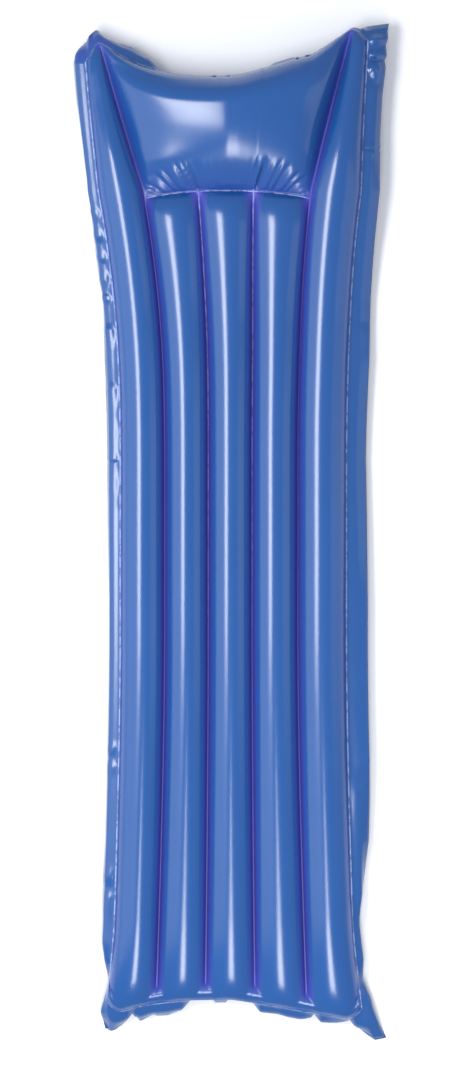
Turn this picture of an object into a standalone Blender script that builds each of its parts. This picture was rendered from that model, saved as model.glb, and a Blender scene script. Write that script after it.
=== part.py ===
"""Pool air mattress: two welded vinyl sheets with five tubes and a pillow, and two push-in valves below.

Metres, +Z up, head end towards +Y. The origin is under the middle of the mattress, on the surface it lies on.
"""

import math

import bmesh
import bpy
from mathutils import Vector
from mathutils.bvhtree import BVHTree

# Vinyl film, its welds and the loose margin outside them
FILM = 0.0003
FILM_GAP = 0.0003
WELD_WIDTH = 0.003
SIDE_MARGIN = 0.040
HEAD_MARGIN = 0.040
FOOT_MARGIN = 0.042
FOOT_CORNER_MARGIN = 0.060

# Tubes, across the middle of the mattress; an odd number of sides rests on a flat one
TUBE_RADIUS = 0.0375
TUBE_SIDES = 7
INNER_TUBES = 3

# Seams, as places along the centre line, and how far each seam's ends lie from its middle
FOOT_SEAM_Y = -0.842
PILLOW_SEAM_Y = 0.6045
HEAD_SEAM_Y = 0.808
LEFT_FOOT_BOW = -0.012
RIGHT_FOOT_BOW = -0.034
FOOT_CORNER_ROUND = 0.020
FOOT_ROUND_FROM = 0.85
PILLOW_SEAM_BOW = -0.042

# How far the pillow's corners reach beyond the middle of the head seam, and how steeply it rises to them
LEFT_CORNER_REACH = 0.058
LEFT_CORNER_CURVE = 2.8
RIGHT_CORNER_REACH = 0.0824
RIGHT_CORNER_CURVE = 1.8
HORN_SLANT = 0.018

# How the tubes widen where they flatten towards a seam, and the horn of each corner
HEAD_SPREAD = 0.26
HEAD_SPREAD_FROM_Y = 0.09
FOOT_SPREAD = 0.13
FOOT_SPREAD_FROM_Y = -0.20
SEAM_SHARE_OF_SPREAD = 0.62
FOOT_CORNER_FLARE = 0.009
FOOT_FLARE_FROM_Y = -0.70
CORNER_WELD_X = 0.228
LEFT_CORNER_SEAM_X = 0.250
RIGHT_CORNER_SEAM_X = 0.257
RIGHT_WIDENING = 0.012
CENTRE_LINE_X = -0.0007
HEAD_SWAY = -0.011
HEAD_SWAY_FROM_Y = 0.25

# Closed ends of the tubes, and the air passages between the long welds and the foot seam
DOME_LENGTH = 0.060
HORN_DOME_LENGTH = 0.030
HORN_ROUND_FROM = 0.6
PASSAGE_LENGTH = 0.030
PASSAGE_HEIGHT = 0.011

# Pillow, which lifts the head end because it is thicker than the tubes
PILLOW_HALF_HEIGHT = 0.074
PILLOW_LIFT = 0.030
LIFT_FROM_Y = 0.36
LIFT_TO_Y = 0.68

# Droop of the loose margin below the plane of the seams, in degrees
LEFT_DROOP = 52.0
RIGHT_DROOP = 14.0
RIGHT_FOOT_DROOP = 60.0
RIGHT_FOLD_FROM_Y = -0.45
RIGHT_FOLD_TO_Y = -0.68
HEAD_DROOP = 80.0
FOOT_DROOP = 58.0
LEFT_CORNER_DROOP = 36.0
RIGHT_CORNER_DROOP = 12.0
HEAD_CORNER_POWER = 3
FOOT_CORNER_POWER = 8

# Push-in valves
CLEARANCE = 0.0003
VALVE_SEGMENTS = 24
BASE_FLANGE_WIDTH = 0.006
BASE_THICKNESS = 0.0008
CUP_BORE_RADIUS = 0.0063
CUP_WALL = 0.001
CUP_FLARE = 0.0008
CUP_DEPTH = 0.0125
STEM_WALL = 0.0022
STEM_TRAVEL = 0.012
STEM_RIB_HEIGHT = 0.0015
STRAP_THICKNESS = 0.0009
STRAP_WIDTH = 0.0030
PLUG_HEAD_THICKNESS = 0.0010
PLUG_LENGTH = 0.0045
PLUG_FIT = 0.0003
FLAP_THICKNESS = 0.0006
FLAP_OVERLAP = 0.0011
BODY_VALVE_TO_SEAM = 0.3545
PILLOW_VALVE_TO_SEAM = 0.0955

PITCH = 2 * TUBE_RADIUS + WELD_WIDTH
OUTER_WELD_X = INNER_TUBES / 2 * PITCH
SIDE_SEAM_X = OUTER_WELD_X + PITCH
LAST_TUBE = INNER_TUBES + 1
FLOOR_TO_MIDDLE = TUBE_RADIUS * math.cos(math.pi / (2 * TUBE_SIDES)) + FILM + FILM_GAP / 2

CUP_RADIUS = CUP_BORE_RADIUS + CUP_WALL
HOLE_RADIUS = CUP_RADIUS + CUP_FLARE + CLEARANCE
BASE_RADIUS = HOLE_RADIUS + BASE_FLANGE_WIDTH
BASE_BOTTOM = FILM + CLEARANCE
STEM_RADIUS = CUP_BORE_RADIUS - CLEARANCE
STEM_BORE_RADIUS = STEM_RADIUS - STEM_WALL
STRAP_REACH = math.sqrt(STEM_RADIUS**2 - (STRAP_WIDTH / 2) ** 2)
PLUG_HEAD_RADIUS = STRAP_REACH - STRAP_THICKNESS - CLEARANCE
STEM_FOOT = 2 * CLEARANCE + PLUG_HEAD_THICKNESS
STEM_RIB = CUP_DEPTH + CLEARANCE + STEM_TRAVEL
STEM_TOP = STEM_RIB + STEM_RIB_HEIGHT
BODY_VALVE_Y = PILLOW_SEAM_Y - BODY_VALVE_TO_SEAM
PILLOW_VALVE_Y = PILLOW_SEAM_Y + PILLOW_VALVE_TO_SEAM

# Rows of the sheets: shares of a dome's length, of the tubes' length and of the pillow's half length
DOME_ROWS = (0.12, 0.45)
BODY_ROWS = (0.14, 0.30, 0.46, 0.62, 0.76, 0.88)
PILLOW_ROWS = (-0.90, -0.66, -0.34, 0.0, 0.34, 0.66, 0.90)


def clear_scene():
    for old in list(bpy.data.objects):
        bpy.data.objects.remove(old, do_unlink=True)


def new_collection(name):
    made = bpy.data.collections.new(name)
    bpy.context.scene.collection.children.link(made)
    return made


def new_material(name, colour, roughness):
    made = bpy.data.materials.new(name)
    made.use_nodes = True
    shader = made.node_tree.nodes["Principled BSDF"]
    shader.inputs["Base Color"].default_value = (*colour, 1.0)
    shader.inputs["Roughness"].default_value = roughness
    shader.inputs["Metallic"].default_value = 0.0
    return made


def lerp(a, b, share):
    return a + (b - a) * share


def ramp(low, high, value):
    """0 up to low and then rising in a straight line to 1 at high, whichever way they lie."""
    return max((value - low) / (high - low), 0.0)


def smooth_step(low, high, value):
    share = min(ramp(low, high, value), 1.0)
    return share * share * (3 - 2 * share)


def middle_height(y):
    """Height of the plane in which the sheets are welded."""
    return FLOOR_TO_MIDDLE + PILLOW_LIFT * smooth_step(LIFT_FROM_Y, LIFT_TO_Y, y)


def centre_line(y):
    """X of the line halfway between the side seams, which leans sideways towards the head."""
    return CENTRE_LINE_X + HEAD_SWAY * smooth_step(HEAD_SWAY_FROM_Y, HEAD_SEAM_Y, y)


def spread(y):
    """How much wider the tubes lie at y than in the middle of the mattress."""
    y = min(y, PILLOW_SEAM_Y)
    head = ramp(HEAD_SPREAD_FROM_Y, PILLOW_SEAM_Y, y) ** 2.5
    foot = ramp(FOOT_SPREAD_FROM_Y, FOOT_SEAM_Y, y) ** 1.6
    return 1 + HEAD_SPREAD * head + FOOT_SPREAD * foot


def along_horn(y):
    """0 at the pillow's seam and 1 at the tip of the right-hand tube's horn."""
    return ramp(PILLOW_SEAM_Y, HEAD_SEAM_Y + RIGHT_CORNER_REACH, y)


def widened(x):
    """The tubes on the right are cut wider than those on the left, and so reach further out."""
    return x + RIGHT_WIDENING * (max(x, 0.0) / SIDE_SEAM_X) ** 2


def weld_x(number, y):
    """Centre line of a long weld, numbered from the left, from the centre line."""
    middle = widened((number - INNER_TUBES / 2) * PITCH)
    at_seam = middle * spread(y)
    if number in (0, INNER_TUBES):
        return math.copysign(lerp(abs(at_seam), CORNER_WELD_X, along_horn(y)), middle)
    return at_seam


def side_seam_x(side, y):
    """Place of the left (side -1) or right (1) side seam, from the centre line."""
    at_seam = abs(widened(side * SIDE_SEAM_X)) * (1 + SEAM_SHARE_OF_SPREAD * (spread(y) - 1))
    at_seam += FOOT_CORNER_FLARE * ramp(FOOT_FLARE_FROM_Y, FOOT_SEAM_Y, y) ** 1.5
    at_corner = RIGHT_CORNER_SEAM_X if side > 0 else LEFT_CORNER_SEAM_X
    return side * lerp(at_seam, at_corner, along_horn(y))


def tube_edges(tube, y):
    """Left and right edge of a tube, between its welds, from the centre line."""
    half_weld = WELD_WIDTH / 2
    left = side_seam_x(-1, y) if tube == 0 else weld_x(tube - 1, y) + half_weld
    right = side_seam_x(1, y) if tube == LAST_TUBE else weld_x(tube, y) - half_weld
    return left, right


def pillow_seam_y(across):
    """The seam below the pillow, with across 0 on the centre line and 1 at the side seam."""
    return PILLOW_SEAM_Y + PILLOW_SEAM_BOW * abs(across) ** 2.2


def foot_seam_y(across):
    """The foot seam runs further out on the right, and turns in again at the outer corners."""
    bow = RIGHT_FOOT_BOW if across > 0 else LEFT_FOOT_BOW
    corner = ramp(FOOT_ROUND_FROM, 1.0, abs(across)) ** 2
    return FOOT_SEAM_Y + bow * abs(across) ** 1.5 + FOOT_CORNER_ROUND * corner


def head_seam_y(across):
    """The head seam rises to the pillow's corners, at the tips of the horns, and slants off over them."""
    corner = INNER_TUBES / (LAST_TUBE + 1)
    right = across > 0
    reach = RIGHT_CORNER_REACH if right else LEFT_CORNER_REACH
    curve = RIGHT_CORNER_CURVE if right else LEFT_CORNER_CURVE
    rise = reach * min(abs(across) / corner, 1.0) ** curve
    return HEAD_SEAM_Y + rise - HORN_SLANT * ramp(corner, 1.0, abs(across)) ** 2


def row_y(zone, along, across):
    foot, pillow, head = foot_seam_y(across), pillow_seam_y(across), head_seam_y(across)
    if zone == "body":
        return lerp(foot, pillow, along)
    if zone == "pillow":
        return lerp(pillow, head, along)
    return foot if zone == "foot margin" else head


def dome(distance, length):
    """Share of the full height at that distance from the seam that closes a tube."""
    left = 1 - min(max(distance / length, 0.0), 1.0)
    return math.sqrt(1 - left * left)


def half_ellipse_arc(chord, height):
    """Length of the half ellipse that rises to height over a chord."""
    a, b = chord / 2, height
    return math.pi / 2 * (3 * (a + b) - math.sqrt((3 * a + b) * (a + 3 * b)))


def half_ellipse_height(film, chord):
    """Height of the half ellipse over a chord whose arc is as long as the film."""
    low, high = 0.0, film
    for _ in range(40):
        height = (low + high) / 2
        low, high = (height, high) if half_ellipse_arc(chord, height) < film else (low, height)
    return low


def tube_film(tube):
    """Width of film in a tube, which is as high as the others where the tubes lie straight."""
    left, right = tube_edges(tube, HEAD_SPREAD_FROM_Y)
    return half_ellipse_arc(right - left, TUBE_RADIUS)


def tube_height(tube, y):
    """Height of a full tube: its film stays as long as in the middle, but narrows along a horn."""
    left, right = tube_edges(tube, min(y, PILLOW_SEAM_Y))
    film = max(tube_film(tube), (right - left) * 1.001)
    height = half_ellipse_height(film, right - left)
    if y <= PILLOW_SEAM_Y:
        return height
    left, right = tube_edges(tube, y)
    return lerp(height, (right - left) / 2, smooth_step(0.0, HORN_ROUND_FROM, along_horn(y)))


def tube_point(tube, share, y, fullness):
    """(x, height above the middle plane) round a tube; where it is flat, its film is spaced evenly."""
    left, right = tube_edges(tube, y)
    angle = math.pi * share
    round_share = (1 - math.cos(angle)) / 2
    x = lerp(left, right, lerp(share, round_share, fullness))
    return x, tube_height(tube, y) * math.sin(angle) * fullness


def pillow_point(tube, share, y, along):
    """(x, height above the middle plane) on the pillow, which lies between the outer long welds."""
    left = weld_x(0, y) + WELD_WIDTH / 2
    right = weld_x(INNER_TUBES, y) - WELD_WIDTH / 2
    strip = WELD_WIDTH / (math.pi * TUBE_RADIUS)
    across = (tube - 1 + share + strip * (tube - 1)) / (INNER_TUBES + strip * (INNER_TUBES - 1))
    a = 2 * across - 1
    b = 2 * along - 1
    crown = max(1 - abs(a) ** 2.6, 0.0) ** 0.55 * max(1 - b * b, 0.0) ** 0.6
    return lerp(left, right, across), PILLOW_HALF_HEIGHT * crown


def passage(distance):
    """The long welds stop short of the foot seam, so that air can pass from tube to tube."""
    share = distance / PASSAGE_LENGTH
    return PASSAGE_HEIGHT * math.sin(math.pi * share) if 0 < share < 1 else 0.0


def row_list():
    """The rows of the sheets from foot to head, as (zone, share) pairs."""
    dome_share = DOME_LENGTH / (PILLOW_SEAM_Y - FOOT_SEAM_Y)
    rows = [("foot margin", 1.0), ("body", 0.0)]
    rows += [("body", share * dome_share) for share in (*DOME_ROWS, 1.0)]
    rows += [("body", share) for share in BODY_ROWS]
    rows += [("body", 1 - share * dome_share) for share in (1.0, *reversed(DOME_ROWS))]
    rows += [("body", 1.0)]
    rows += [("pillow", (share + 1) / 2) for share in PILLOW_ROWS]
    rows += [("pillow", 1.0), ("head margin", 1.0)]
    return rows


def column_list():
    """The columns from left to right, as (tube, share across it) pairs, with the margins outside."""
    columns = [("left margin", 0.0)]
    for tube in range(LAST_TUBE + 1):
        columns += [(tube, side / TUBE_SIDES) for side in range(TUBE_SIDES + 1)]
    columns += [("right margin", 0.0)]
    return columns


def end_margin(point, across):
    """A seam point carried out to the edge of the foot or head margin."""
    x, y, middle = point
    corner = abs(across) ** (HEAD_CORNER_POWER if y > 0 else FOOT_CORNER_POWER)
    corner_droop = RIGHT_CORNER_DROOP if across > 0 else LEFT_CORNER_DROOP
    if y > 0:
        droop, width = lerp(HEAD_DROOP, corner_droop, corner), HEAD_MARGIN
    else:
        droop = lerp(FOOT_DROOP, corner_droop, corner)
        width = lerp(FOOT_MARGIN, FOOT_CORNER_MARGIN, corner)
    droop = math.radians(droop)
    return x, y + math.copysign(width * math.cos(droop), y), middle - width * math.sin(droop)


def side_margin(point, side):
    """A seam point carried out to the edge of the left or right margin."""
    x, y, middle = point
    droop = LEFT_DROOP
    if side > 0:
        droop = lerp(RIGHT_DROOP, RIGHT_FOOT_DROOP, smooth_step(RIGHT_FOLD_FROM_Y, RIGHT_FOLD_TO_Y, y))
    droop = math.radians(droop)
    return x + side * SIDE_MARGIN * math.cos(droop), y, middle - SIDE_MARGIN * math.sin(droop)


def seam_point(zone, along, side):
    """A point of the side seam."""
    y = row_y(zone, along, side)
    return side_seam_x(side, y) + centre_line(y), y, middle_height(y)


def margin_point(zone, along, side):
    """A point on the outer edge of a side margin; at a corner both margins meet."""
    seam = seam_point(zone, along, side)
    edge = side_margin(seam, side)
    if zone in ("foot margin", "head margin"):
        end = end_margin(seam, side)
        return edge[0], end[1], min(edge[2], end[2])
    return edge


def sheet_point(row, column):
    """(x, y, height of the middle plane, height above it) of one point of a sheet."""
    zone, along = row
    tube, share = column
    if tube in ("left margin", "right margin"):
        return (*margin_point(zone, along, 1 if tube == "right margin" else -1), 0.0)
    across = 2 * (tube + share) / (LAST_TUBE + 1) - 1
    y = row_y(zone, along, across)
    length = PILLOW_SEAM_Y - FOOT_SEAM_Y
    inner = 0 < tube < LAST_TUBE
    if zone == "pillow" and inner:
        x, height = pillow_point(tube, share, y, along)
    else:
        fullness = 0.0
        if zone == "pillow":
            fullness = dome((1 - along) * (HEAD_SEAM_Y - PILLOW_SEAM_Y), HORN_DOME_LENGTH)
        elif zone == "body":
            fullness = dome(along * length, DOME_LENGTH)
            fullness *= dome((1 - along) * length, DOME_LENGTH) if inner else 1.0
        x, height = tube_point(tube, share, y, fullness)
        if zone == "body" and 0 < tube + share < LAST_TUBE + 1:
            height = max(height, passage(along * length))
    point = (x + centre_line(y), y, middle_height(y))
    if zone in ("foot margin", "head margin"):
        point = end_margin(point, across)
    return (*point, height)


def sheet_surface(top):
    """The inner face of a sheet, as an open mesh laid out on a grid."""
    rows, columns = row_list(), column_list()
    mesh = bmesh.new()
    bmesh.ops.create_grid(mesh, x_segments=len(columns) - 1, y_segments=len(rows) - 1)
    mesh.verts.ensure_lookup_table()
    for index, vertex in enumerate(mesh.verts):
        row, column = divmod(index, len(columns))
        x, y, middle, height = sheet_point(rows[row], columns[column])
        away = FILM_GAP / 2 + height
        lowest = FILM + (FILM + FILM_GAP if top else 0.0)
        vertex.co = (x, y, max(middle + (away if top else -away), lowest))
    bmesh.ops.triangulate(mesh, faces=mesh.faces[:], quad_method="FIXED")
    if not top:
        bmesh.ops.reverse_faces(mesh, faces=mesh.faces[:])
    mesh.normal_update()
    return mesh


def object_of(name, mesh, finish, group):
    data = bpy.data.meshes.new(name)
    mesh.to_mesh(data)
    mesh.free()
    made = bpy.data.objects.new(name, data)
    group.objects.link(made)
    data.materials.append(finish)
    data.shade_smooth()
    data.set_sharp_from_angle(angle=math.radians(40))
    return made


def solidify(target, thickness):
    """Thickens an open surface on the side that its normals point to."""
    shell = target.modifiers.new("thickness", "SOLIDIFY")
    shell.thickness = thickness
    shell.offset = 1.0


def boolean(target, other, operation):
    cut = target.modifiers.new(operation.lower(), "BOOLEAN")
    cut.operation = operation
    cut.object = other
    cut.solver = "EXACT"


def as_helper(target, helpers):
    """Puts a cutter or a guide with the hidden helpers."""
    for old in target.users_collection:
        old.objects.unlink(target)
    helpers.objects.link(target)
    target.hide_render = True
    target.display_type = "WIRE"
    return target


def pivot(name, place, helpers):
    """An empty on a hinge's axis, which carries the moving piece."""
    made = bpy.data.objects.new(name, None)
    made.location = place
    made.empty_display_size = PLUG_LENGTH
    helpers.objects.link(made)
    return made


def hang_on(target, parent, centre):
    """Parents a piece to its pivot, with its own origin at centre."""
    target.parent = parent
    target.location = centre - parent.location


def turned(name, profile, finish, group):
    """A turned piece: its profile of (radius, height) runs down the outer side and up the bore."""
    mesh = bmesh.new()
    points = [mesh.verts.new((radius, 0.0, height)) for radius, height in profile]
    loop = points + points[:1] if profile[0][0] > 0 else points
    for start, end in zip(loop, loop[1:]):
        mesh.edges.new((start, end))
    made = object_of(name, mesh, finish, group)
    screw = made.modifiers.new("turn", "SCREW")
    screw.steps = screw.render_steps = VALVE_SEGMENTS
    screw.use_merge_vertices = True
    screw.merge_threshold = 0.00001
    return made


def make_sheet(name, top, finish, group):
    made = object_of(name, sheet_surface(top), finish, group)
    solidify(made, FILM)
    return made


def make_flange(name, centre, film, finish, group):
    """The thin round flange of a valve's base, draped on the inside of the film."""
    inner = (CUP_BORE_RADIUS + CUP_RADIUS) / 2
    rings = 4
    mesh = bmesh.new()
    circles = []
    for step in range(rings):
        radius = lerp(inner, BASE_RADIUS, step / (rings - 1))
        circle = []
        for segment in range(VALVE_SEGMENTS):
            turn = 2 * math.pi * segment / VALVE_SEGMENTS
            offset = Vector((radius * math.cos(turn), radius * math.sin(turn), FLOOR_TO_MIDDLE))
            hit = film.ray_cast(centre + offset, Vector((0, 0, -1)))[0]
            circle.append(mesh.verts.new((offset.x, offset.y, hit.z + CLEARANCE)))
        circles.append(circle)
    for low, high in zip(circles, circles[1:]):
        for k in range(VALVE_SEGMENTS):
            after = (k + 1) % VALVE_SEGMENTS
            mesh.faces.new((low[k], high[k], high[after], low[after]))
    bmesh.ops.triangulate(mesh, faces=mesh.faces[:])
    made = object_of(name, mesh, finish, group)
    made.location = centre
    solidify(made, BASE_THICKNESS)
    return made


def make_cup(name, centre, finish, group):
    """The recessed cup of a valve's base, in which the stem slides."""
    mouth = BASE_BOTTOM + BASE_THICKNESS
    profile = [
        (CUP_RADIUS, CUP_DEPTH),
        (CUP_RADIUS, mouth + CUP_FLARE),
        (CUP_RADIUS + CUP_FLARE, mouth),
        (CUP_RADIUS + CUP_FLARE, BASE_BOTTOM),
        (CUP_BORE_RADIUS + CUP_FLARE, BASE_BOTTOM),
        (CUP_BORE_RADIUS, BASE_BOTTOM + CUP_FLARE),
        (CUP_BORE_RADIUS, CUP_DEPTH),
    ]
    made = turned(name, profile, finish, group)
    made.location = centre
    return made


def make_stem(name, centre, finish, group):
    """The sliding stem, with a rib at its inner end that stops it at the cup."""
    profile = [
        (CUP_RADIUS, STEM_TOP),
        (CUP_RADIUS, STEM_RIB),
        (STEM_RADIUS, STEM_RIB),
        (STEM_RADIUS, STEM_FOOT),
        (STEM_BORE_RADIUS, STEM_FOOT),
        (STEM_BORE_RADIUS, STEM_TOP),
    ]
    made = turned(name, profile, finish, group)
    made.location = centre
    return made


def make_strap(name, centre, finish, group):
    """The strap at the left of the stem's end, whose free edge is the plug's hinge."""
    mesh = bmesh.new()
    bmesh.ops.create_cube(mesh, size=1.0)
    height = STEM_FOOT - 2 * CLEARANCE
    bmesh.ops.scale(mesh, verts=mesh.verts[:], vec=(STRAP_THICKNESS, STRAP_WIDTH, height))
    made = object_of(name, mesh, finish, group)
    made.location = centre + Vector((STRAP_THICKNESS / 2 - STRAP_REACH, 0.0, CLEARANCE + height / 2))
    return made


def make_plug(name, centre, finish, group, helpers):
    """The stopper. Its sides are arcs about its hinge, so that it swings out of the bore."""
    reach = PLUG_HEAD_RADIUS + STEM_BORE_RADIUS - PLUG_FIT
    steps = 5
    profile = [(0.0, PLUG_HEAD_THICKNESS + PLUG_LENGTH)]
    for step in range(steps, -1, -1):
        depth = PLUG_HEAD_THICKNESS + PLUG_LENGTH * step / steps
        profile.append((math.sqrt(reach**2 - depth**2) - PLUG_HEAD_RADIUS, depth))
    profile += [(PLUG_HEAD_RADIUS, PLUG_HEAD_THICKNESS), (PLUG_HEAD_RADIUS, 0.0), (0.0, 0.0)]
    made = turned(name, profile, finish, group)
    outer_face = centre + Vector((0.0, 0.0, CLEARANCE))
    hinge = pivot(name + "_hinge", outer_face - Vector((PLUG_HEAD_RADIUS, 0.0, 0.0)), helpers)
    hang_on(made, hinge, outer_face)
    return made


def make_flap(name, centre, finish, group, helpers):
    """The check flap on the stem's inner end. Air pressure shuts it, and it hangs on its left edge."""
    radius = STEM_BORE_RADIUS + FLAP_OVERLAP
    mesh = bmesh.new()
    bmesh.ops.create_cone(
        mesh,
        cap_ends=True,
        segments=VALVE_SEGMENTS,
        radius1=radius,
        radius2=radius,
        depth=FLAP_THICKNESS,
    )
    made = object_of(name, mesh, finish, group)
    seat = centre + Vector((0.0, 0.0, STEM_TOP + CLEARANCE))
    hinge = pivot(name + "_hinge", seat - Vector((radius, 0.0, 0.0)), helpers)
    hang_on(made, hinge, seat + Vector((0.0, 0.0, FLAP_THICKNESS / 2)))
    return made


def make_hole(name, centre, helpers):
    """The cutter for a valve's hole in the film."""
    bpy.ops.mesh.primitive_cylinder_add(
        vertices=VALVE_SEGMENTS,
        radius=HOLE_RADIUS,
        depth=4 * HOLE_RADIUS,
        location=centre,
    )
    made = bpy.context.object
    made.name = name
    return as_helper(made, helpers)


def make_valve(prefix, centre, film, finishes, parts, helpers):
    """One valve: base, stem, strap, plug and check flap."""
    base = make_cup(prefix + "_valve_base", centre, finishes["valve"], parts)
    flange = make_flange(prefix + "_valve_flange", centre, film, finishes["valve"], parts)
    boolean(base, as_helper(flange, helpers), "UNION")
    make_stem(prefix + "_valve_stem", centre, finishes["valve"], parts)
    make_strap(prefix + "_valve_strap", centre, finishes["valve"], parts)
    make_plug(prefix + "_valve_plug", centre, finishes["plug"], parts, helpers)
    make_flap(prefix + "_valve_flap", centre, finishes["flap"], parts, helpers)


def valve_centres():
    """The body valve is under the right-hand outer tube, and the pillow valve under the pillow."""
    left, right = tube_edges(LAST_TUBE, BODY_VALVE_Y)
    body = Vector(((left + right) / 2 + centre_line(BODY_VALVE_Y), BODY_VALVE_Y, 0.0))
    pillow = Vector((centre_line(PILLOW_VALVE_Y), PILLOW_VALVE_Y, 0.0))
    return {"body": body, "pillow": pillow}


def main():
    clear_scene()
    parts = new_collection("pool_air_mattress")
    helpers = new_collection("cutters")
    film = new_material("blue_vinyl", (0.045, 0.13, 0.42), 0.16)
    finishes = {
        "valve": new_material("valve_vinyl", (0.06, 0.16, 0.48), 0.30),
        "plug": new_material("plug_vinyl", (0.05, 0.14, 0.45), 0.30),
        "flap": new_material("flap_vinyl", (0.35, 0.45, 0.65), 0.35),
    }
    make_sheet("top_sheet", True, film, parts)
    bottom = make_sheet("bottom_sheet", False, film, parts)
    inside = bmesh.new()
    inside.from_mesh(bottom.data)
    inside_film = BVHTree.FromBMesh(inside)
    inside.free()
    for prefix, centre in valve_centres().items():
        make_valve(prefix, centre, inside_film, finishes, parts, helpers)
        boolean(bottom, make_hole(prefix + "_hole", centre, helpers), "DIFFERENCE")


main()
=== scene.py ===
import math

import bmesh
import bpy
import numpy as np
from bpy.props import FloatProperty, FloatVectorProperty, PointerProperty
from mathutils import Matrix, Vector


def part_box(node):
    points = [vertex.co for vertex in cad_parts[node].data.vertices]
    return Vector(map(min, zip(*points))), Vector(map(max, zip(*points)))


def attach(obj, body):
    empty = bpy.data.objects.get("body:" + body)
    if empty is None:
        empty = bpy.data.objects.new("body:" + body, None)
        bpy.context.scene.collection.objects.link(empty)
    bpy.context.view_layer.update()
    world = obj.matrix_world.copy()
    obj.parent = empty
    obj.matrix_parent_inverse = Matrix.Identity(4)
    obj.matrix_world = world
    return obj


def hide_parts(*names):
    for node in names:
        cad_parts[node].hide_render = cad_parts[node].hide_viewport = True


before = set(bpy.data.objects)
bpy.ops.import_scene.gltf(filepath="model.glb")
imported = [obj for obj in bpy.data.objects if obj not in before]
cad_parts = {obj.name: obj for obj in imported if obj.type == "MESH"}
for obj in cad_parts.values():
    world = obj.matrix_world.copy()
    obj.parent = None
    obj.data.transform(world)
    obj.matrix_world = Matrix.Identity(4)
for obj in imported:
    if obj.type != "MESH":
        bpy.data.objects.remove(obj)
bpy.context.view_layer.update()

bl_info = {
    "name": "Pool air mattress",
    "version": (1, 0, 0),
    "blender": (4, 5, 0),
    "location": "View3D > Sidebar > Air mattress",
    "description": "Two welded vinyl sheets with five tubes and a pillow, their push-in valves and a studio",
    "category": "Add Mesh",
}

# Film, welds and tubes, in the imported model's frame
FILM = 0.0003
FILM_GAP = 0.0003
WELD_WIDTH = 0.003
TUBE_RADIUS = 0.0375
FACETS_A_TUBE = 7
INNER_TUBES = 3

# Seams, as places along the centre line, and how far each seam's ends lie from its middle
FOOT_SEAM_Y = -0.842
PILLOW_SEAM_Y = 0.6045
HEAD_SEAM_Y = 0.808
LEFT_FOOT_BOW = -0.030
LEFT_FOOT_POWER = 3.0
LEFT_FOOT_ROUND = 0.031
RIGHT_FOOT_BOW = -0.039
RIGHT_FOOT_POWER = 1.2
RIGHT_FOOT_ROUND = 0.024
FOOT_ROUND_FROM = 0.85
PILLOW_SEAM_BOW = -0.042
PILLOW_SEAM_POWER = 2.2
LEFT_CORNER_REACH = 0.058
LEFT_CORNER_POWER = 3.1
RIGHT_CORNER_REACH = 0.0824
RIGHT_HEAD_RISE = (
    (0.0, 0.0), (0.14, 0.035), (0.28, 0.13), (0.42, 0.245),
    (0.58, 0.37), (0.74, 0.48), (0.82, 0.63), (1.0, 1.0),
)
LEFT_HORN_SLANT = 0.032
RIGHT_HORN_SLANT = 0.019
HORN_SLANT_POWER = 1.6

# How the tubes widen where they flatten towards a seam, and the horn of each corner
HEAD_SPREAD = 0.26
HEAD_SPREAD_FROM_Y = 0.09
HEAD_SPREAD_POWER = 2.5
FOOT_SPREAD = 0.13
FOOT_SPREAD_FROM_Y = -0.20
FOOT_SPREAD_POWER = 1.6
SEAM_SHARE_OF_SPREAD = 0.62
FOOT_CORNER_FLARE = 0.009
FOOT_FLARE_FROM_Y = -0.70
FOOT_FLARE_POWER = 1.5
CORNER_WELD_X = 0.228
LEFT_CORNER_SEAM_X = 0.250
RIGHT_CORNER_SEAM_X = 0.257
RIGHT_WIDENING = 0.012
CENTRE_LINE_X = -0.0007
HEAD_SWAY = -0.011
HEAD_SWAY_FROM_Y = 0.25

# Closed ends of the tubes, and the air passages at the foot
DOME_LENGTH = 0.060
FOOT_DOME_LENGTH = 0.160
FOOT_DOME_POWER = 3.2
HORN_DOME_LENGTH = 0.030
HORN_ROUND_FROM = 0.6
PASSAGE_LENGTH = 0.030
PASSAGE_HEIGHT = 0.011

# Pillow: how it lifts the seams, its height across it, and then along it from its weld to the head seam
PILLOW_LIFT = 0.030
LIFT_FROM_Y = 0.36
LIFT_TO_Y = 0.68
PILLOW_HALF_HEIGHT = 0.074
PILLOW_RIDGE_AT = 0.035
PILLOW_RIDGE_ROUND = 0.04
PILLOW_LEFT_SLANT = 0.28
PILLOW_RIGHT_SLANT = 0.06
PILLOW_ARCH = 0.20
PILLOW_SIDE_POWER = 10
PILLOW_WELD_SLANT = 0.06
PILLOW_WELD_POWER = 5
PILLOW_FLAT_SHARE = 0.25
PILLOW_FLAT_FROM_TO = (0.30, 0.90)
PILLOW_SHOULDER = 1.3
PILLOW_SHOULDER_FROM_TO = (0.55, 0.9)
PILLOW_CREST = 0.745
PILLOW_BEND = 10.0
PILLOW_STEEP_POWER = 3
PILLOW_GENTLE_SHARE = 0.41
PILLOW_HEAD_POWERS = (2.2, 0.6)

# Loose margin outside the seams, and how much steeper its edge hangs than its inner part
SIDE_MARGIN = 0.040
HEAD_MARGIN = 0.040
FOOT_MARGIN = 0.042
FOOT_CORNER_MARGIN = 0.070
FOOT_CORNER_POWER = 8
SIDE_DROOP = 9.0
END_DROOP = 1.5
DROOP_FROM_TO = (0.38, 0.70)

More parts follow.
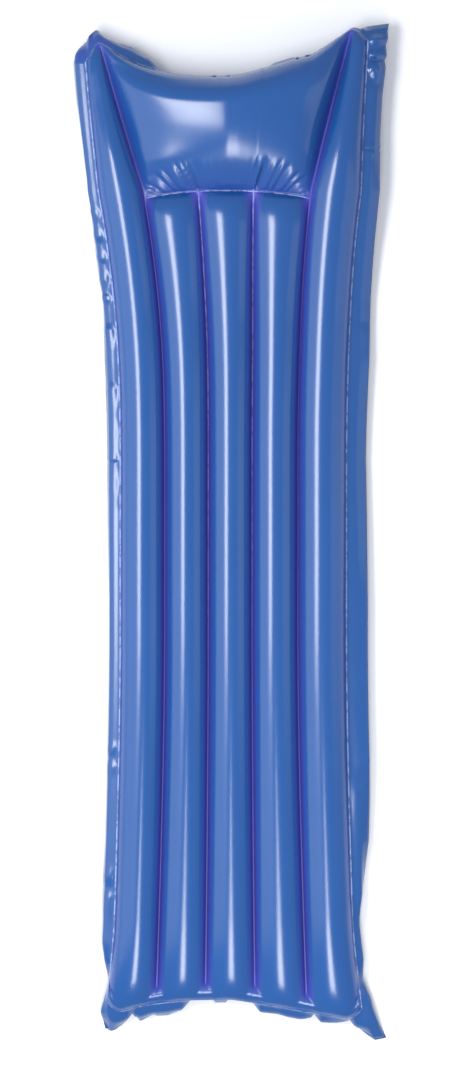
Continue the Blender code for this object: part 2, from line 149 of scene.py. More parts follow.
# How far the edge of each side margin reaches out, by y, and how far the right one is pulled along
LEFT_REACH = (
    (-0.897, 0.004), (-0.864, 0.0125), (-0.846, 0.007), (-0.825, 0.003), (-0.807, 0.002),
    (-0.771, 0.0135), (-0.735, 0.0215), (-0.628, 0.024), (-0.556, 0.022), (-0.127, 0.0215),
    (0.016, 0.024), (0.303, 0.026), (0.410, 0.0215), (0.482, 0.024), (0.553, 0.0215),
    (0.625, 0.019), (0.697, 0.020), (0.768, 0.0235), (0.833, 0.0235), (0.846, 0.021),
    (0.857, 0.015), (0.864, 0.009), (0.868, 0.004),
)
RIGHT_REACH = (
    (-0.923, 0.0195), (-0.857, 0.022), (-0.843, 0.020), (-0.807, 0.009), (-0.771, 0.015),
    (-0.700, 0.013), (-0.628, 0.024), (-0.556, 0.035), (-0.485, 0.038), (-0.413, 0.0398),
    (-0.306, 0.0395), (-0.127, 0.0395), (0.016, 0.038), (0.124, 0.036), (0.303, 0.039),
    (0.410, 0.0365), (0.553, 0.036), (0.625, 0.0345), (0.697, 0.032), (0.804, 0.033),
    (0.872, 0.036), (0.900, 0.0395),
)
RIGHT_PULL = ((-0.923, 0.007), (-0.857, 0.0), (0.804, 0.0), (0.872, 0.001), (0.900, 0.006))
# The same for the end margins, by x
HEAD_REACH = (
    (-0.262, 0.034), (-0.252, 0.0385), (-0.2387, 0.029), (-0.2298, 0.018), (-0.2101, 0.021),
    (-0.1761, 0.028), (-0.1493, 0.0206), (-0.1224, 0.002), (0.070, 0.002), (0.078, 0.005),
    (0.112, 0.005), (0.120, 0.002), (0.205, 0.003), (0.2141, 0.004), (0.2320, 0.011),
    (0.2445, 0.028),
)
FOOT_REACH = (
    (-0.2191, 0.056), (-0.1994, 0.032), (-0.1850, 0.0215), (-0.1761, 0.0116), (-0.1618, 0.0295),
    (-0.1394, 0.0224), (-0.1305, 0.025), (-0.1117, 0.026), (-0.0884, 0.0197), (-0.0714, 0.001),
    (-0.0311, 0.001), (-0.0275, 0.006), (-0.0079, 0.006), (-0.0043, 0.001), (0.0405, 0.001),
    (0.0530, 0.017), (0.0852, 0.015), (0.1067, 0.018), (0.1228, 0.018), (0.1443, 0.0116),
    (0.1497, 0.003), (0.1622, 0.017), (0.1908, 0.0125), (0.2141, 0.006), (0.2356, 0.064),
)
FOOT_PULL = ((0.2141, 0.0), (0.2356, 0.027))
NO_PULL = ((0.0, 0.0),)
# Folds across the side margins: (place along the seam, height of the ridge, how far it slants along the seam)
LEFT_FOLDS = (
    (-0.725, 0.0, 0.0), (-0.664, 0.0025, 0.004), (-0.643, -0.002, 0.0), (-0.619, 0.003, -0.004),
    (-0.600, 0.0, 0.0), (-0.445, 0.0, 0.0), (-0.427, 0.002, 0.003), (-0.410, -0.002, 0.0),
    (-0.392, 0.002, -0.003), (-0.377, 0.0, 0.0), (0.030, 0.0, 0.0), (0.047, -0.001, 0.0),
    (0.082, 0.0015, 0.0), (0.1185, -0.0015, 0.002), (0.124, 0.0025, 0.003), (0.143, 0.0, 0.0),
    (0.172, 0.001, 0.0), (0.206, -0.0015, 0.0), (0.250, 0.0025, -0.002), (0.268, -0.003, 0.0),
    (0.316, -0.002, 0.0), (0.354, 0.003, 0.002), (0.373, -0.0035, 0.0), (0.398, -0.002, 0.004),
    (0.413, 0.003, 0.002), (0.4245, -0.002, 0.0), (0.450, 0.003, -0.003), (0.472, -0.0025, 0.0),
    (0.485, 0.003, 0.003), (0.508, -0.003, 0.0), (0.527, 0.0025, -0.004), (0.544, -0.002, 0.0),
    (0.565, 0.003, 0.003), (0.578, -0.001, 0.0), (0.605, 0.0, 0.0),
)
RIGHT_FOLDS = (
    (-0.560, 0.0, 0.0), (-0.470, 0.002, 0.0), (-0.425, -0.0015, 0.0), (-0.340, 0.0, 0.0),
    (0.020, 0.0, 0.0), (0.090, 0.0008, 0.0), (0.170, -0.0008, 0.0), (0.300, 0.0, 0.0),
    (0.3565, 0.001, 0.0), (0.372, -0.0006, 0.0), (0.387, 0.001, 0.0), (0.415, 0.0, 0.0),
    (0.661, 0.0, 0.0), (0.6733, 0.003, 0.0), (0.678, -0.002, 0.0), (0.6825, 0.003, 0.0),
    (0.694, 0.0, 0.0), (0.775, 0.0, 0.0), (0.810, -0.006, -0.026), (0.821, 0.011, 0.002),
    (0.838, -0.006, 0.0), (0.847, 0.008, -0.001), (0.855, -0.006, 0.009), (0.871, 0.009, 0.006),
    (0.886, -0.006, 0.002), (0.900, 0.004, 0.0),
)
FOLD_HEIGHT = 0.55
FOLD_ROUNDING = 0.6
FOLD_STEP = 0.0045
# Shares of the margin's width over which its folds rise, and over which they calm down towards its edge
FOLDS_FROM_TO = (0.04, 0.25)
FOLDS_CALM_FROM_TO = (0.45, 0.75)
LEFT_EDGE_CALM = 0.75
RIGHT_EDGE_CALM = 0.5

# Short folds where the film is gathered into the pillow's weld, the head seam and the tubes' ends
PILLOW_WELD_HALF = 0.147
HEAD_SEAM_HALF = 0.2
FOLD_MEAN = 0.6
FOLD_FAN = 0.28
FOLD_STRENGTH = ((0.0, 0.12), (0.28, 0.15), (0.36, 1.0), (0.92, 1.0), (1.0, 0.3))
LONG_CREASES = (-1 / 3, 1 / 3)
LONG_CREASE_DEPTH = 2.2
LONG_CREASE_WIDTH = 0.012
NOTCH_DEPTH = 2
NOTCH_WIDTH = 0.014
NOTCH_REACH = 0.020
HEAD_FOLD_REACH = 0.014
END_FOLD_REACH = 0.014
FOOT_FOLD_REACH = 0.010
END_FOLD_FROM_TO = (0.0, 0.006)

# Marks on the film: how strong the painted shade in the grooves, a deeper violet blue, and the welds' polish
# with its painted pale highlight are, and from where to where they fade
GROOVE_FROM_TO = (0.08, 0.27)
GROOVE_FOOT_FROM_TO = (0.012, 0.045)
OUTER_GROOVE = 0.3
# Painted shade on the pillow's flanks and just above its weld
PILLOW_FLANK = 0.6
PILLOW_FLANK_FROM = 0.90
PILLOW_FLANK_POWER = 1.4
PILLOW_GROOVE = 0.40
PILLOW_GROOVE_REACH = 0.03
# Painted shade on the left lobe of the head margin
HEAD_LOBE = 0.3
HEAD_LOBE_TO = -0.55
LONG_WELDS_FROM_TO = (0.5, 1.2)
# Strength of each weld's polish and ribs, and of the painted pale highlight on it
WELD_AND_GLINT_MARKS = {0: 0.0, 1: 0.6, 2: 0.6, 3: 0.0, "side": 1.0, "end": 0.5, "pillow": 1.0}

# Film before it was blown up: lengths along the mattress
BODY_FILM = 1.484
PILLOW_FILM = 0.298
WHOLE_FILM = BODY_FILM + PILLOW_FILM
TUBE_FILM = math.pi * TUBE_RADIUS

PITCH = 2 * TUBE_RADIUS + WELD_WIDTH
SIDE_SEAM_X = (INNER_TUBES / 2 + 1) * PITCH
LAST_TUBE = INNER_TUBES + 1
FLOOR_TO_MIDDLE = TUBE_RADIUS * math.cos(math.pi / 2 / FACETS_A_TUBE) + FILM + FILM_GAP / 2

# Spacing of the surface's points, and of the finer ones on which a column of film is measured
TUBE_COLUMNS = 34
WELD_STEPS = 4
MARGIN_STEPS = 9
END_STEP = 0.005
LENGTH_STEP = 0.009
PILLOW_STEP = 0.004
END_LENGTH = 0.13
BODY_SAMPLES = 700
PILLOW_SAMPLES = 250
SAMPLES = np.concatenate([np.linspace(0, 1, BODY_SAMPLES), np.linspace(1, 2, PILLOW_SAMPLES)[1:]])
CROSS_WELD_EASE = 0.02
FLOOR_SOFTNESS = 0.002
SHEET_SOFTNESS = 0.0006

# Holes in the bottom sheet, and where the film rises again round a valve's flange, in flange radii
HOLE_RADIUS = 0.0084
PATCH_FROM_TO = (1.1, 2.0)

# The stage, the photo's size and scale, and where the middle of the mattress lies in it
FLOOR_SIZE = 14.0
FLOOR_DROP = 0.0002
SKY_COLOUR = (0.86, 0.90, 1.0, 1.0)
PHOTO_WIDTH = 469
PHOTO_HEIGHT = 1080
PIXEL = 0.00179
MIDDLE_PIXEL_X = 230
MIDDLE_PIXEL_Y = 531
MIDDLE_Y = -0.00325


def lerp(a, b, share):
    return a + (b - a) * share


def ramp(low, high, value):
    return np.maximum((value - low) / (high - low), 0.0)


def smooth_step(low, high, value):
    share = np.minimum(ramp(low, high, value), 1.0)
    return share * share * (3 - 2 * share)


def middle_height(y):
    """Height of the plane in which the sheets are welded."""
    return FLOOR_TO_MIDDLE + PILLOW_LIFT * smooth_step(LIFT_FROM_Y, LIFT_TO_Y, y)


def centre_line(y):
    """X of the line halfway between the side seams, which leans sideways towards the head."""
    return CENTRE_LINE_X + HEAD_SWAY * smooth_step(HEAD_SWAY_FROM_Y, HEAD_SEAM_Y, y)


def spread(y):
    """How much wider the tubes lie at y than in the middle of the mattress."""
    y = np.minimum(y, PILLOW_SEAM_Y)
    head = ramp(HEAD_SPREAD_FROM_Y, PILLOW_SEAM_Y, y) ** HEAD_SPREAD_POWER
    foot = ramp(FOOT_SPREAD_FROM_Y, FOOT_SEAM_Y, y) ** FOOT_SPREAD_POWER
    return 1 + HEAD_SPREAD * head + FOOT_SPREAD * foot


def along_horn(y):
    """0 at the pillow's seam and 1 at the tip of the right-hand tube's horn."""
    return ramp(PILLOW_SEAM_Y, HEAD_SEAM_Y + RIGHT_CORNER_REACH, y)


def widened(x):
    """The tubes on the right are cut wider than those on the left, and so reach further out."""
    return x + RIGHT_WIDENING * (max(x, 0.0) / SIDE_SEAM_X) ** 2


def weld_x(number, y):
    """Centre line of a long weld, numbered from the left, from the centre line."""
    middle = widened((number - INNER_TUBES / 2) * PITCH)
    at_seam = middle * spread(y)
    if number in (0, INNER_TUBES):
        return np.sign(middle) * lerp(np.abs(at_seam), CORNER_WELD_X, along_horn(y))
    return at_seam


def side_seam_x(side, y):
    """Place of the left (side -1) or right (1) side seam, from the centre line."""
    at_seam = abs(widened(side * SIDE_SEAM_X)) * (1 + SEAM_SHARE_OF_SPREAD * (spread(y) - 1))
    at_seam = at_seam + FOOT_CORNER_FLARE * ramp(FOOT_FLARE_FROM_Y, FOOT_SEAM_Y, y) ** FOOT_FLARE_POWER
    at_corner = RIGHT_CORNER_SEAM_X if side > 0 else LEFT_CORNER_SEAM_X
    return side * lerp(at_seam, at_corner, along_horn(y))


def tube_edges(tube, y):
    """Left and right edge of a tube, between its welds, from the centre line."""
    left = side_seam_x(-1, y) if tube == 0 else weld_x(tube - 1, y) + WELD_WIDTH / 2
    right = side_seam_x(1, y) if tube == LAST_TUBE else weld_x(tube, y) - WELD_WIDTH / 2
    return left, right


def pillow_seam_y(across):
    """The seam below the pillow, with across 0 on the centre line and 1 at the side seam."""
    return PILLOW_SEAM_Y + PILLOW_SEAM_BOW * abs(across) ** PILLOW_SEAM_POWER


def foot_seam_y(across):
    """The foot seam runs further out towards the corners, and turns in again there."""
    if across > 0:
        bow, power, turn = RIGHT_FOOT_BOW, RIGHT_FOOT_POWER, RIGHT_FOOT_ROUND
    else:
        bow, power, turn = LEFT_FOOT_BOW, LEFT_FOOT_POWER, LEFT_FOOT_ROUND
    return FOOT_SEAM_Y + bow * abs(across) ** power + turn * ramp(FOOT_ROUND_FROM, 1.0, abs(across)) ** 2


def head_seam_y(across):
    """The head seam rises to the pillow's corners, at the tips of the horns, and slants off over them."""
    corner = INNER_TUBES / (LAST_TUBE + 1)
    out = min(abs(across) / corner, 1.0)
    if across > 0:
        rise, slant = RIGHT_CORNER_REACH * np.interp(out, *zip(*RIGHT_HEAD_RISE)), RIGHT_HORN_SLANT
    else:
        rise, slant = LEFT_CORNER_REACH * out ** LEFT_CORNER_POWER, LEFT_HORN_SLANT
    return HEAD_SEAM_Y + rise - slant * ramp(corner, 1.0, abs(across)) ** HORN_SLANT_POWER


def dome(distance, length):
    """Share of the full height at that distance from the seam that closes a tube."""
    left = 1 - np.clip(distance / length, 0.0, 1.0)
    return np.sqrt(1 - left * left)


def half_ellipse_arc(chord, height):
    """Length of the half ellipse that rises to height over a chord."""
    a = chord / 2
    return math.pi / 2 * (3 * (a + height) - np.sqrt((3 * a + height) * (a + 3 * height)))


def half_ellipse_height(film, chord):
    """Height of the half ellipse over a chord whose arc is as long as the film."""
    low = np.zeros_like(chord)
    high = np.full_like(chord, film)
    for _ in range(40):
        height = (low + high) / 2
        short = half_ellipse_arc(chord, height) < film
        low = np.where(short, height, low)
        high = np.where(short, high, height)
    return low


def tube_film(tube):
    """Width of film in a tube, which is as high as the others where the tubes lie straight."""
    left, right = tube_edges(tube, HEAD_SPREAD_FROM_Y)
    return float(half_ellipse_arc(right - left, TUBE_RADIUS))


def flat_size():
    """Width and length of a sheet as it was cut: its film, its welds and its margins."""
    tubes = sum(tube_film(tube) for tube in range(LAST_TUBE + 1))
    width = tubes + LAST_TUBE * WELD_WIDTH + 2 * SIDE_MARGIN
    return width, WHOLE_FILM + FOOT_MARGIN + HEAD_MARGIN


def tube_height(tube, y):
    """Height of a full tube: its film stays as long as in the middle, but narrows along a horn."""
    left, right = tube_edges(tube, np.minimum(y, PILLOW_SEAM_Y))
    height = half_ellipse_height(tube_film(tube), right - left)
    left, right = tube_edges(tube, y)
    tapered = lerp(height, (right - left) / 2, smooth_step(0.0, HORN_ROUND_FROM, along_horn(y)))
    return np.where(y <= PILLOW_SEAM_Y, height, tapered)


def pillow_share(tube, share, in_weld):
    """0 to 1 across the pillow for a column of an inner tube or of the weld on its right."""
    strip = WELD_WIDTH / TUBE_FILM
    film = tube - 1 + strip * (tube - 1) + (1 + strip * share if in_weld else share)
    return film / (INNER_TUBES + strip * (INNER_TUBES - 1))


def pillow_profile(along):
    """Share of the pillow's height along it: steep at its weld, then gentle up to its crest."""
    down = np.clip((PILLOW_CREST - along) / PILLOW_CREST, 0.0, 1.0)
    gentle = np.log(np.cosh(PILLOW_BEND * down)) / math.log(math.cosh(PILLOW_BEND))
    on_body_side = 1 - lerp(down ** PILLOW_STEEP_POWER, gentle, PILLOW_GENTLE_SHARE)
    beyond = np.clip((along - PILLOW_CREST) / (1 - PILLOW_CREST), 0.0, 1.0)
    first, second = PILLOW_HEAD_POWERS
    return np.where(along < PILLOW_CREST, on_body_side, (1 - beyond ** first) ** second)


def pillow_crowns(across):
    """Shares of the pillow's height across it, -1 to 1: at its crest and near its weld.

    At the crest two slopes meet in a soft ridge along the middle; near the weld the film is flat across.
    """
    across = across - PILLOW_RIDGE_AT * (1 - across * across)
    full = math.hypot(1, PILLOW_RIDGE_ROUND) - PILLOW_RIDGE_ROUND
    out = (math.hypot(across, PILLOW_RIDGE_ROUND) - PILLOW_RIDGE_ROUND) / full
    slant = PILLOW_LEFT_SLANT if across < 0 else PILLOW_RIGHT_SLANT
    to_side = (1 - slant - PILLOW_ARCH) * out ** PILLOW_SIDE_POWER
    flat = 1 - PILLOW_WELD_SLANT * out - (1 - PILLOW_WELD_SLANT) * out ** PILLOW_WELD_POWER
    return 1 - slant * out - PILLOW_ARCH * out ** 2 - to_side, flat


def pillow_height(over, along):
    """Height of the pillow above the middle plane, 0 to 1 across it and 0 to 1 along it."""
    ridged, flat = pillow_crowns(2 * over - 1)
    towards_weld = smooth_step(*PILLOW_FLAT_FROM_TO, (PILLOW_CREST - along) / PILLOW_CREST)
    crown = lerp(ridged, flat, PILLOW_FLAT_SHARE * towards_weld)
    profile = pillow_profile(along)
    shoulder = PILLOW_SHOULDER * smooth_step(*PILLOW_SHOULDER_FROM_TO, profile)
    return PILLOW_HALF_HEIGHT * crown * (profile - shoulder * (1 - crown) * (1 - profile))


def chamber_line(tube, share, along, in_weld=False):
    """Points over one column of film: along runs 0 to 1 over the tubes and 1 to 2 over the pillow.

    The column lies share of the way over the tube, or over the weld on the tube's right.
    Returns x, y, the height of the middle plane and the height above it.
    """
    edge = 1.0 if in_weld else share
    across = 2 * (tube + edge) / (LAST_TUBE + 1) - 1
    foot, pillow, head = foot_seam_y(across), pillow_seam_y(across), head_seam_y(across)
    body = along <= 1
    y = np.where(body, lerp(foot, pillow, along), lerp(pillow, head, along - 1))
    length = PILLOW_SEAM_Y - FOOT_SEAM_Y
    horn_end = dome((2 - along) * (HEAD_SEAM_Y - PILLOW_SEAM_Y), HORN_DOME_LENGTH)
    from_foot = np.clip(along * length / FOOT_DOME_LENGTH, 0.0, 1.0)
    fullness = np.where(body, (1 - (1 - from_foot) ** FOOT_DOME_POWER) ** 0.5, horn_end)
    inner = 0 < tube < LAST_TUBE and not (in_weld and tube == INNER_TUBES)
    if inner:
        fullness = np.where(body, fullness * dome((1 - along) * length, DOME_LENGTH), 0.0)
    if in_weld:
        x = weld_x(tube, y) + (share - 0.5) * WELD_WIDTH
        height = np.zeros_like(y)
    else:
        left, right = tube_edges(tube, y)
        angle = math.pi * share
        x = lerp(left, right, lerp(share, (1 - math.cos(angle)) / 2, fullness))
        height = tube_height(tube, y) * math.sin(angle) * fullness
    if inner:
        left, right = weld_x(0, y) + WELD_WIDTH / 2, weld_x(INNER_TUBES, y) - WELD_WIDTH / 2
        over = pillow_share(tube, share, in_weld)
        x = np.where(body, x, lerp(left, right, over))
        height = np.where(body, height, pillow_height(over, along - 1))
    if 0 < tube + edge < LAST_TUBE + 1:
        from_seam = np.clip(along * length / PASSAGE_LENGTH, 0.0, 1.0)
        height = np.maximum(height, PASSAGE_HEIGHT * np.sin(math.pi * from_seam))
    return x + centre_line(y), y, middle_height(y), height


def run_along(x, y, z):
    """Length of a line up to each of its points."""
    steps = np.linalg.norm(np.diff(np.stack([x, y, z], -1), axis=0), axis=1)
    return np.concatenate([[0.0], np.cumsum(steps)])


def margin_distances(width):
    """Distances from a seam, over its weld and then over the loose margin."""
    weld = np.linspace(0, WELD_WIDTH, WELD_STEPS + 1)[1:]
    loose = np.linspace(WELD_WIDTH, width, MARGIN_STEPS + 1)[1:]
    return np.concatenate([weld, loose])


def drape(reach, width, shares, droop):
    """How far out and down a loose margin's points lie, and its tilt there, when its edge reaches so far.

    The arrays have a row for each place along the seam and a column for each share of the width.
    """
    steps = np.diff(np.concatenate([[0.0], shares]))
    bend = 1 + droop * smooth_step(*DROOP_FROM_TO, shares)

    def carried(tilt):
        turn = np.minimum(tilt[:, None] * bend, math.pi / 2)
        return np.cumsum(np.cos(turn) * steps, axis=1), np.cumsum(np.sin(turn) * steps, axis=1), turn

    tilts = np.linspace(0.0, math.pi / 2, 120)
    reaches = carried(tilts)[0][:, -1]
    out, down, turn = carried(np.interp(reach / width, reaches[::-1], tilts[::-1]))
    return out * width[:, None], down * width[:, None], turn


def looked_up(places, table):
    """The values of a table of (place, value) between its places."""
    return np.interp(places, *zip(*table))


def folded(places, folds):
    """Height and slant of a margin's folds at each place, with their ridges rounded off."""
    first, ridge, slant = zip(*folds)
    numbers = np.arange(len(folds))
    number = np.interp(places, first, numbers)
    share = number % 1
    number = number - share + lerp(share, share * share * (3 - 2 * share), FOLD_ROUNDING)
    return np.interp(number, numbers, ridge), np.interp(number, numbers, slant)


def even_steps(start, stop, step):
    """From start up to but without stop, in steps near that size."""
    return list(np.linspace(start, stop, max(1, round((stop - start) / step)) + 1)[:-1])


def fold_rows(side, folds):
    """Rows on and between the folds of a side margin, as places on the film."""
    column = (0, 0.0) if side < 0 else (LAST_TUBE, 1.0)
    x, y, middle, height = chamber_line(*column, SAMPLES)
    run = run_along(x, y, middle + height)
    places = [place for place, _, _ in folds if y[0] < place < y[-1]]
    rows = np.interp(places, y, run / run[-1] * WHOLE_FILM)
    gaps = [(low, high) for low, high in zip(rows, rows[1:]) if high - low < 12 * FOLD_STEP]
    return [*rows, *(row for gap in gaps for row in even_steps(*gap, FOLD_STEP)[1:])]


def spaced(rows, fixed):
    """The rows in order, without those that come too near to a fixed row or to the row before."""
    kept = []
    for row in sorted(rows):
        if np.abs(fixed - row).min() > FOLD_STEP / 4 and (not kept or row - kept[-1] > FOLD_STEP / 4):
            kept.append(row)
    return np.sort(np.concatenate([fixed, kept]))


class Film:
    """The grid of points on the two sheets: rows run from foot to head, columns from left to right."""

    def __init__(self):
        half_weld = WELD_WIDTH / 2
        fixed = list(-margin_distances(FOOT_MARGIN)[::-1]) + [0.0]
        fixed += even_steps(BODY_FILM - half_weld, BODY_FILM + half_weld, WELD_WIDTH / WELD_STEPS)
        fixed += [BODY_FILM + half_weld, WHOLE_FILM, *(WHOLE_FILM + margin_distances(HEAD_MARGIN))]
        rows = even_steps(0, END_LENGTH, END_STEP)
        rows += even_steps(END_LENGTH, BODY_FILM - END_LENGTH, LENGTH_STEP)
        rows += even_steps(BODY_FILM - END_LENGTH, BODY_FILM - half_weld, END_STEP)
        rows += even_steps(BODY_FILM + half_weld, WHOLE_FILM, PILLOW_STEP)
        rows += fold_rows(-1, LEFT_FOLDS) + fold_rows(1, RIGHT_FOLDS)
        self.rows = spaced(rows, np.array(fixed))
        side = list(margin_distances(SIDE_MARGIN) / SIDE_MARGIN)
        columns = [(-1, share, False) for share in reversed(side)]
        for tube in range(LAST_TUBE + 1):
            columns += [(tube, k / TUBE_COLUMNS, False) for k in range(TUBE_COLUMNS + 1)]
            if tube < LAST_TUBE:
                columns += [(tube, k / WELD_STEPS, True) for k in range(1, WELD_STEPS)]
        columns += [(LAST_TUBE + 1, share, False) for share in side]
        self.columns = columns
        self.tube, self.share, self.in_weld = (np.array(part) for part in zip(*columns))
        self.first = len(side)
        self.last = len(columns) - len(side) - 1
        self.foot = int(np.argmin(np.abs(self.rows)))
        self.head = int(np.argmin(np.abs(self.rows - WHOLE_FILM)))
        edge = np.where(self.in_weld, 1.0, self.share)
        self.across = np.clip(2 * (self.tube + edge) / (LAST_TUBE + 1) - 1, -1.0, 1.0)
        self.on_tubes = (self.tube >= 0) & (self.tube <= LAST_TUBE)
        on_inner = (self.tube > 0) & (self.tube < LAST_TUBE)
        self.on_pillow = on_inner & ~(self.in_weld & (self.tube == INNER_TUBES))
        shape = (len(self.rows), len(columns))
        self.place = np.zeros((*shape, 3))
        self.height = np.zeros(shape)
        self.lay_chambers()
        self.lay_end_margin(False)
        self.lay_end_margin(True)
        self.lay_side_margin(-1)
        self.lay_side_margin(1)

    def lay_chambers(self):
        """Spaces the film evenly along each column, with its own length between the cross seams."""
        low, high = BODY_FILM - WELD_WIDTH / 2, BODY_FILM + WELD_WIDTH / 2
        rows = np.clip(self.rows, 0, WHOLE_FILM)
        in_cross_weld = np.clip(rows, low, high) - BODY_FILM
        in_cross_weld = in_cross_weld * np.exp(-np.abs(rows - BODY_FILM) / CROSS_WELD_EASE)
        for column in range(self.first, self.last + 1):
            tube, share, in_weld = self.columns[column]
            x, y, middle, height = chamber_line(tube, share, SAMPLES, in_weld)
            run = run_along(x, y, middle + height)
            seam = run[BODY_SAMPLES - 1]
            whole = np.interp(rows / WHOLE_FILM * run[-1], run, SAMPLES)
            wanted = np.where(
                rows <= BODY_FILM,
                np.minimum(rows, low) / low * seam,
                seam + np.maximum(rows - high, 0) / (WHOLE_FILM - high) * (run[-1] - seam),
            )
            split = np.interp(wanted, run, SAMPLES)
            outer = 0.0 if in_weld else (1 - share) if tube == 0 else share if tube == LAST_TUBE else 0.0
            x, y, middle, height = chamber_line(tube, share, lerp(split, whole, outer), in_weld)
            self.place[:, column] = np.stack([x, y + (1 - outer) * in_cross_weld, middle], -1)
            self.height[:, column] = height

    def lay_end_margin(self, head):
        """Carries the foot or head seam out into its loose margin."""
        tubes = np.s_[self.first:self.last + 1]
        seam = self.head if head else self.foot
        rows = np.s_[seam + 1:] if head else np.s_[seam - 1::-1]
        nominal = HEAD_MARGIN if head else FOOT_MARGIN
        shares = np.abs(self.rows[rows] - self.rows[seam]) / nominal
        wider = 0.0 if head else FOOT_CORNER_MARGIN - FOOT_MARGIN
        width = nominal + wider * np.abs(self.across[tubes]) ** FOOT_CORNER_POWER
        points = self.place[seam, tubes]
        reach = looked_up(points[:, 0], HEAD_REACH if head else FOOT_REACH)
        pulled = looked_up(points[:, 0], NO_PULL if head else FOOT_PULL)
        out, down, _ = drape(reach, width, shares, END_DROOP)
        self.place[rows, tubes, 0] = points[:, 0] + pulled * shares[:, None]
        self.place[rows, tubes, 1] = points[:, 1] + (1 if head else -1) * out.T
        self.place[rows, tubes, 2] = points[:, 2] - down.T

    def lay_side_margin(self, side):
        """Carries a side seam out into its loose margin, which is folded across."""
        seam = self.first if side < 0 else self.last
        columns = np.s_[seam - 1::-1] if side < 0 else np.s_[seam + 1:]
        shares = self.share[columns]
        points = self.place[:, seam]
        reach = looked_up(points[:, 1], LEFT_REACH if side < 0 else RIGHT_REACH)
        pulled = looked_up(points[:, 1], NO_PULL if side < 0 else RIGHT_PULL)
        ridge, slant = folded(points[:, 1], LEFT_FOLDS if side < 0 else RIGHT_FOLDS)
        out, down, turn = drape(reach, np.full(len(points), SIDE_MARGIN), shares, SIDE_DROOP)
        calm = (LEFT_EDGE_CALM if side < 0 else RIGHT_EDGE_CALM) * smooth_step(*FOLDS_CALM_FROM_TO, shares)
        lift = FOLD_HEIGHT * ridge[:, None] * smooth_step(*FOLDS_FROM_TO, shares) * (1 - calm)
        self.place[:, columns, 0] = points[:, :1] + side * (out + lift * np.sin(turn))
        self.place[:, columns, 1] = points[:, 1:2] + (pulled + slant)[:, None] * shares
        self.place[:, columns, 2] = points[:, 2:] - down + lift * np.cos(turn)


def ripple(distance, wavelength, seed):
    """Uneven waves about that long, between about -1 and 1."""
    chance = np.random.default_rng(seed)
    total = np.zeros_like(distance)
    for stretch in (0.62, 0.8, 1.0, 1.27, 1.7):
        total += np.sin(2 * math.pi * distance / (wavelength * stretch) + chance.uniform(0, 2 * math.pi))
    return total / 2.6


def grid_faces(numbers):
    corners = numbers[:-1, :-1], numbers[:-1, 1:], numbers[1:, 1:], numbers[1:, :-1]
    return np.stack(corners, -1).reshape(-1, 4)


def surface_normals(points):
    along_row = np.gradient(points, axis=1)
    along_column = np.gradient(points, axis=0)
    normal = np.cross(along_row, along_column)
    return normal / np.maximum(np.linalg.norm(normal, axis=-1, keepdims=True), 1e-9)


def soft_floor(height, floor, softness):
    """Heights pressed against a floor, with a rounded corner where they lift off."""
    above = height - floor
    return floor + (above + np.sqrt(above * above + softness * softness)) / 2


def film_points(film, settings):
    """The inner faces of both sheets, as grids of points."""
    top = film.place.copy()
    top[..., 2] += film.height
    margin = np.ones(film.height.shape, bool)
    margin[film.foot:film.head + 1, film.first:film.last + 1] = False
    bottom = top.copy()
    inside = ~margin
    bottom[..., 2][inside] = (2 * film.place[..., 2] - top[..., 2])[inside]
    raised = weld_beads(film, settings)
    sheets = []
    for points, side in ((top, 1.0), (bottom, -1.0)):
        outward = side * surface_normals(points)
        outward[inside] *= np.sign(side * outward[inside][:, 2:] + 1e-9)
        shift = (raised + puckers(film, settings) + FILM_GAP / 2 * margin)[..., None] * outward
        shift[..., 2] += side * FILM_GAP / 2 * inside
        sheets.append(points + shift)
    top, bottom = sheets
    bottom[..., 2] = soft_floor(bottom[..., 2], settings.thickness, FLOOR_SOFTNESS)
    top[..., 2] = np.where(inside, np.maximum(top[..., 2], bottom[..., 2] + FILM_GAP), top[..., 2])
    top[..., 2] = soft_floor(top[..., 2], settings.thickness + FILM_GAP, SHEET_SOFTNESS)
    return top, bottom, margin


def weld_lines(film):
    """Each weld's kind, its area on the film, and its round line there, from 0 at its edges to 1."""
    body = (film.rows >= PASSAGE_LENGTH) & (film.rows < BODY_FILM)
    fading = smooth_step(*LONG_WELDS_FROM_TO, film.rows[body])[:, None]
    for weld in range(LAST_TUBE):
        over = film.in_weld & (film.tube == weld)
        yield weld, np.ix_(body, over), fading * np.sin(math.pi * film.share[over])
    inside = (film.rows >= 0) & (film.rows <= WHOLE_FILM)
    side = ~film.on_tubes & (film.share * SIDE_MARGIN <= WELD_WIDTH)
    yield "side", np.ix_(inside, side), np.sin(math.pi * film.share[side] * SIDE_MARGIN / WELD_WIDTH)
    for seam, out in ((0.0, -1), (WHOLE_FILM, 1)):
        distance = (film.rows - seam) * out
        over = (distance >= 0) & (distance <= WELD_WIDTH)
        yield "end", np.ix_(over, film.on_tubes), np.sin(math.pi * distance[over] / WELD_WIDTH)[:, None]
    distance = film.rows - BODY_FILM
    over = np.abs(distance) <= WELD_WIDTH / 2
    yield "pillow", np.ix_(over, film.on_pillow), np.cos(math.pi * distance[over] / WELD_WIDTH)[:, None]


def weld_beads(film, settings):
    """Height of the small round bead that the welding bar leaves along the middle of each weld."""
    heights = dict(enumerate(settings.long_beads))
    heights.update(side=settings.seam_bead, end=settings.seam_bead, pillow=settings.pillow_bead)
    bead = np.zeros(film.height.shape)
    for kind, area, line in weld_lines(film):
        bead[area] += heights[kind] * line
    return bead


def weld_and_glint_mask(film):
    """The polished lines along the welds, the inner long ones, the pillow's and the seams all round, which
    also carry a painted pale highlight.
    """
    mask = np.zeros(film.height.shape)
    for kind, area, line in weld_lines(film):
        mask[area] = WELD_AND_GLINT_MARKS[kind] * line
    return mask


